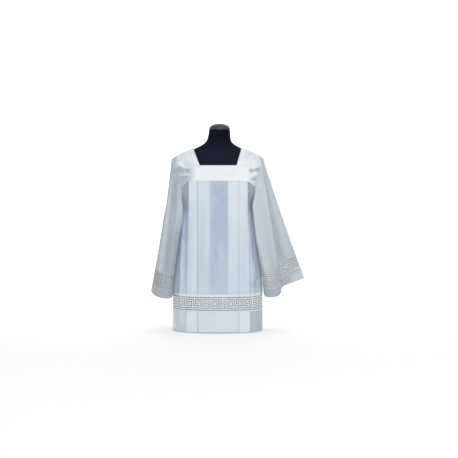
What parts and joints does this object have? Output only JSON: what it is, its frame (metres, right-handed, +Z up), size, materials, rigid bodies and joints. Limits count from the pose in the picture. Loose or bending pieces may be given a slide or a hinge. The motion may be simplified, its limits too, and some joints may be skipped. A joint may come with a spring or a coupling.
{
  "type": "surplice on a countertop dress form",
  "caption": "White pleated surplice with a square neck yoke and key pattern lace, worn by a limbless dress form.",
  "frame": {"origin": "centre of the stand's base plate, on the surface that it stands on, below the neck's axis", "axes": "+Z up along the neck, -Y towards the garment's front, +X towards the side whose sleeve is spread"},
  "size_m": [0.7981, 0.3014, 1.0713],
  "materials": {
    "batiste": "thin white cotton and polyester cloth, matt, bluish over the dark form",
    "doubled_cloth": "the same cloth in two layers, opaque white, matt",
    "key_lace": "white openwork band with a Greek key, matt",
    "navy_jersey": "dark navy jersey cover, matt with a soft sheen",
    "grey_cap": "smooth blue grey neck cap, satin",
    "pale_steel": "pale grey powder coated steel"
  },
  "bodies": {
    "root": {"yoke_front": "doubled_cloth", "yoke_back": "doubled_cloth", "body_front": "batiste", "body_back": "batiste", "lace_front": "key_lace", "lace_back": "key_lace", "hem_front": "doubled_cloth", "hem_back": "doubled_cloth", "sleeve_right": "batiste", "sleeve_left": "batiste", "sleeve_lace_right_front": "key_lace", "sleeve_lace_right_back": "key_lace", "sleeve_lace_left_front": "key_lace", "sleeve_lace_left_back": "key_lace", "cuff_right": "doubled_cloth", "cuff_left": "doubled_cloth", "form_torso": "navy_jersey", "form_neck_cap": "grey_cap", "form_pole": "pale_steel", "form_base": "pale_steel"}
  },
  "joints": []
}
